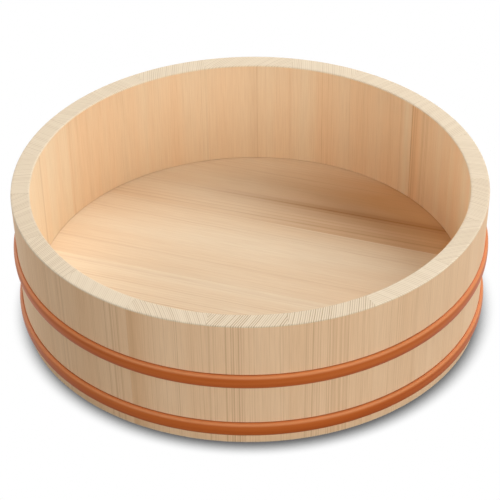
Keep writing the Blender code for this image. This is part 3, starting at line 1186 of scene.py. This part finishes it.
    def build(self) -> None:
        """Builds, drills and dresses every board."""
        material = FLOOR_WOOD.build()
        cutter = peg_cutter("floor_peg_")
        for number, blank in enumerate(BOARD_BLANKS, start=1):
            node = f"floor_board_{number}"
            piece = self.board(node)
            cut_holes(piece, cutter)
            self.dress(piece, blank, number + len(STAVE_BLANKS))
            settle(piece, node, material)
        bpy.data.objects.remove(cutter)


# The hoops


@dataclass
class BandHoop:
    """A domed band in its groove. Sizes are in mm.

    Attributes:
        node: Name of the hoop's node.
        place: Height of its lower edge.
        height: Height of the band.
        proud: How far its face stands out of the wall.
        sunk: How far its back lies in the wall.
        fullness: Exponent of the dome; 2 is an ellipse and more is squarer.
        shoulder: Height of the painted highlight up the band, its half width and its strength.
        back_round: Size of the step that eases the back's two edges, up the band and into the wall.
        dome_points: Points of the section over the dome.
        facets: Columns round the tub.
        sharp_degrees: Edges that turn by more than this stay sharp.
    """

    node: str
    place: float
    height: float = 10.6
    proud: float = 2.6
    sunk: float = 1.2
    fullness: float = 2.6
    shoulder: tuple[float, float, float] = (9.6, 1.1, 0.8)
    back_round: tuple[float, float] = (0.25, 0.3)
    dome_points: int = 36
    facets: int = 360
    sharp_degrees: float = 50.0

    def groove(self) -> Groove:
        """The groove that the hoop sits in, with its clearance."""
        return self.place - CLEARANCE, self.place + self.height + CLEARANCE, self.sunk + CLEARANCE

    def section(self, wall: StaveWall) -> Array:
        """Closed cross-section: up the flat back and down the domed face.

        The face follows a superellipse: height is half the band times sign(c) |c|^(2/n) and the stand-out is
        proud times |s|^(2/n), with c and s the cosine and sine of a turn from 0 to half a circle and n the
        fullness.

        Args:
            wall: The wall that the hoop goes round.

        Returns:
            Rows of radius and height, in mm.
        """
        half = self.height / 2
        turn = np.linspace(0, math.pi, self.dome_points)
        c, s = np.cos(turn), np.sin(turn)
        level = self.place + half + half * np.sign(c) * np.abs(c) ** (2 / self.fullness)
        out = self.proud * np.abs(s) ** (2 / self.fullness)
        face = np.stack([wall.outer(level) + out, level], axis=-1)
        up, less = self.back_round
        back_level = self.place + np.array([up, 2 * up, self.height - 2 * up, self.height - up])
        back_in = np.array([self.sunk - less, self.sunk, self.sunk, self.sunk - less])
        back = np.stack([wall.outer(back_level) - back_in, back_level], axis=-1)
        return np.concatenate([back, face])

    def build(self, wall: StaveWall, material: Material) -> None:
        """Carries the section once round the tub and dresses it.

        Args:
            wall: The wall that the hoop goes round.
            material: Its finish.
        """
        section = self.section(wall)
        ring = len(section)
        points = carry_round(section, np.arange(self.facets) * 2 * math.pi / self.facets)
        faces = grid_faces(self.facets + 1, ring, True) % (self.facets * ring)
        piece = make_object(self.node + "_band", points, faces.tolist(), self.sharp_degrees)
        x, y, z = point_array(piece).T / MM
        turn = np.arctan2(y, x)
        # Cosine and sine of the turn keep the streaks unbroken where the circle closes.
        band = np.stack([np.cos(turn) * wall.rim_radius, z, np.sin(turn) * wall.rim_radius], axis=-1)
        write_attribute(piece, "band", band)
        # The painted highlight fades as exp(-(distance / half width)^2).
        middle, half, strength = self.shoulder
        write_attribute(piece, "shoulder", strength * np.exp(-(((z - self.place - middle) / half) ** 2)))
        settle(piece, self.node, material)


# The pegs


def dress_pegs() -> None:
    """Gives the bamboo pegs inside the joints, which keep their solids' meshes, their finish."""
    material = PEG_BAMBOO.build()
    pegs = [node for name, node in sorted(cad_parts.items()) if "_peg_" in name]
    for peg in pegs:
        peg.data.materials.clear()
        peg.data.materials.append(material)
    LOG.info("%d pegs dressed", len(pegs))


# Light, floor and camera


@dataclass(frozen=True)
class Softbox:
    """A round softbox: azimuth and elevation in degrees, distance and size in metres, power in watts."""

    name: str
    azimuth: float
    elevation: float
    power: float
    distance: float = 3.0
    size: float = 1.8


@dataclass(frozen=True)
class Studio:
    """White sweep, softboxes and the camera of the photograph.

    Attributes:
        elevation: The camera's angle above the table, in degrees.
        roll: Its roll, in degrees.
        distance: Its distance from the middle of the foot, in metres.
        lens: Its focal length, in mm.
        film: Width of its frame, in mm.
        far: Distance at which it stops seeing, in metres.
        aim_right: How far right of the middle of the foot it aims, in mm.
        aim_up: How far above it aims, in mm, square to the line of sight.
        sky: Strength of the light from all round, beside the lamps.
        softboxes: The key at the back right, low fills all round and a weak one overhead.
        paper: Colour of the paper as the tub sees it.
        paper_roughness: Its roughness.
        paper_half: Half its width, in metres.
        shadow_reach: How far the contact shadow reaches, in mm.
        shadow_lean: Direction of the middle of that near sky; the shadow is wider on the other side.
        shadow_ends: Shares of open near sky where the contact shadow is darkest and where it has gone, with
            the sweep's colour for the camera at each. It fades between them by 3t^2 - 2t^3.
        shadow_samples: Directions in which the near sky is looked at.
    """

    elevation: float = 36.700
    roll: float = 0.839
    distance: float = 1.900
    lens: float = 192.33
    film: float = 36.0
    far: float = 50.0
    aim_right: float = -0.74
    aim_up: float = 34.2
    sky: float = 0.0
    softboxes: tuple[Softbox, ...] = (
        Softbox("key_softbox", 51.0, 45.0, 61.0),
        Softbox("right_softbox", 0.0, 20.0, 19.0),
        Softbox("front_right_softbox", 315.0, 20.0, 35.0),
        Softbox("front_softbox", 270.0, 20.0, 16.0),
        Softbox("front_left_softbox", 225.0, 20.0, 22.0),
        Softbox("back_left_softbox", 135.0, 20.0, 37.0),
        Softbox("top_softbox", 270.0, 78.0, 14.0),
    )
    paper: str = "#585858"
    paper_roughness: float = 0.9
    paper_half: float = 6.0
    shadow_reach: float = 18.0
    shadow_lean: tuple[float, float, float] = (-0.09, 0.33, 0.94)
    shadow_ends: Stops = ((0.22, "#6A6A6A"), (0.82, "#FFFFFF"))
    shadow_samples: int = 24

    def camera(self) -> None:
        """Adds the camera, aimed and rolled as the photograph's."""
        turn = math.radians(self.elevation)
        place = Vector((0, -self.distance * math.cos(turn), self.distance * math.sin(turn)))
        up = Vector((0, math.sin(turn), math.cos(turn)))
        target = Vector((1, 0, 0)) * self.aim_right * MM + up * self.aim_up * MM
        forward = (target - place).normalized()
        right = forward.cross(Vector((0, 0, 1))).normalized()
        above = right.cross(forward)
        roll = math.radians(self.roll)
        x_axis = right * math.cos(roll) - above * math.sin(roll)
        y_axis = right * math.sin(roll) + above * math.cos(roll)
        axes = Matrix((x_axis, y_axis, -forward)).transposed()
        lens = bpy.data.cameras.new("photograph_camera")
        lens.sensor_width = self.film
        lens.lens = self.lens
        lens.clip_end = self.far
        camera = bpy.data.objects.new("photograph_camera", lens)
        camera.matrix_world = Matrix.Translation(place) @ axes.to_4x4()
        bpy.context.scene.collection.objects.link(camera)
        bpy.context.scene.camera = camera

    def lamps(self) -> None:
        """Adds the softboxes, each turned towards the tub."""
        for box in self.softboxes:
            light = bpy.data.lights.new(box.name, "AREA")
            light.shape = "DISK"
            light.size = box.size
            light.energy = box.power
            azimuth, elevation = math.radians(box.azimuth), math.radians(box.elevation)
            level = box.distance * math.cos(elevation)
            height = box.distance * math.sin(elevation)
            place = Vector((level * math.cos(azimuth), level * math.sin(azimuth), height))
            lamp = bpy.data.objects.new(box.name, light)
            lamp.location = place
            lamp.rotation_euler = (-place).to_track_quat("-Z", "Y").to_euler()
            bpy.context.scene.collection.objects.link(lamp)

    def seen_directly(self, tree: Tree) -> Node:
        """Finds the rays that show the white surround.

        Args:
            tree: The node tree that asks.

        Returns:
            A node that gives 1 for rays from the camera, from a mirror and through glass, and 0 for others.
        """
        rays = add_node(tree, "ShaderNodeLightPath").outputs
        seen = rays["Is Camera Ray"]
        for kind in ("Is Glossy Ray", "Is Transmission Ray"):
            seen = add_node(tree, "ShaderNodeMath", (seen, rays[kind]), operation="MAXIMUM")
        return seen

    def world(self) -> None:
        """Sets the surround: plain white where it is seen directly, and of its own strength as light."""
        world = bpy.data.worlds.new("white_surround")
        world.use_nodes = True
        bpy.context.scene.world = world
        tree = world.node_tree
        tree.nodes.clear()
        even = add_node(tree, "ShaderNodeBackground", ("#FFFFFF", self.sky))
        white = add_node(tree, "ShaderNodeBackground", ("#FFFFFF", 1.0))
        mix = add_node(tree, "ShaderNodeMixShader", (self.seen_directly(tree), even, white))
        add_node(tree, "ShaderNodeOutputWorld", {"Surface": mix})

    def sweep(self) -> None:
        """Lays the white paper sweep.

        It lights the tub as matt paper in the shade. Seen directly it is burnt out to white, as in the
        photograph, except where the tub stands close above it: there the share of open sky that is left
        darkens it to a contact shadow.
        """
        half = self.paper_half
        ground = CAD_BOX[0][2]
        corners = ((-half, -half), (half, -half), (half, half), (-half, half))
        corners = np.array([[x, y, ground] for x, y in corners])
        sweep = make_object("paper_sweep", corners, [[0, 1, 2, 3]])
        material, tree, shader = new_material("white_paper")
        feed(shader, {"Base Color": self.paper, "Roughness": self.paper_roughness})
        lean = add_node(tree, "ShaderNodeCombineXYZ", self.shadow_lean)
        near = {"Distance": self.shadow_reach * MM, "Normal": lean}
        sky = add_node(tree, "ShaderNodeAmbientOcclusion", near, samples=self.shadow_samples).outputs["AO"]
        fade = add_node(tree, "ShaderNodeValToRGB", (sky,), self.shadow_ends)
        fade.color_ramp.interpolation = "EASE"
        burnt_out = add_node(tree, "ShaderNodeEmission", (fade,))
        mix = add_node(tree, "ShaderNodeMixShader", (self.seen_directly(tree), shader, burnt_out))
        feed(tree.nodes["Material Output"], {"Surface": mix})
        sweep.data.materials.append(material)

    def build(self) -> None:
        """Sets up the camera, light and sweep, with colours shown as they are written."""
        self.camera()
        self.lamps()
        self.world()
        self.sweep()
        bpy.context.scene.view_settings.view_transform = "Standard"


def main() -> None:
    """Builds the studio and the tub, one sub-assembly after another."""
    logging.basicConfig(level=logging.INFO, format="%(message)s")
    Studio().build()
    floor = BoardFloor()
    hoops = (BandHoop("upper_hoop", place=48.5), BandHoop("lower_hoop", place=7.3))
    wall = StaveWall(floor_groove=floor.groove(), hoop_grooves=tuple(hoop.groove() for hoop in hoops))
    wall.build()
    floor.build()
    resin = HOOP_RESIN.build()
    for hoop in hoops:
        hoop.build(wall, resin)
    dress_pegs()


if __name__ == "__main__":
    main()
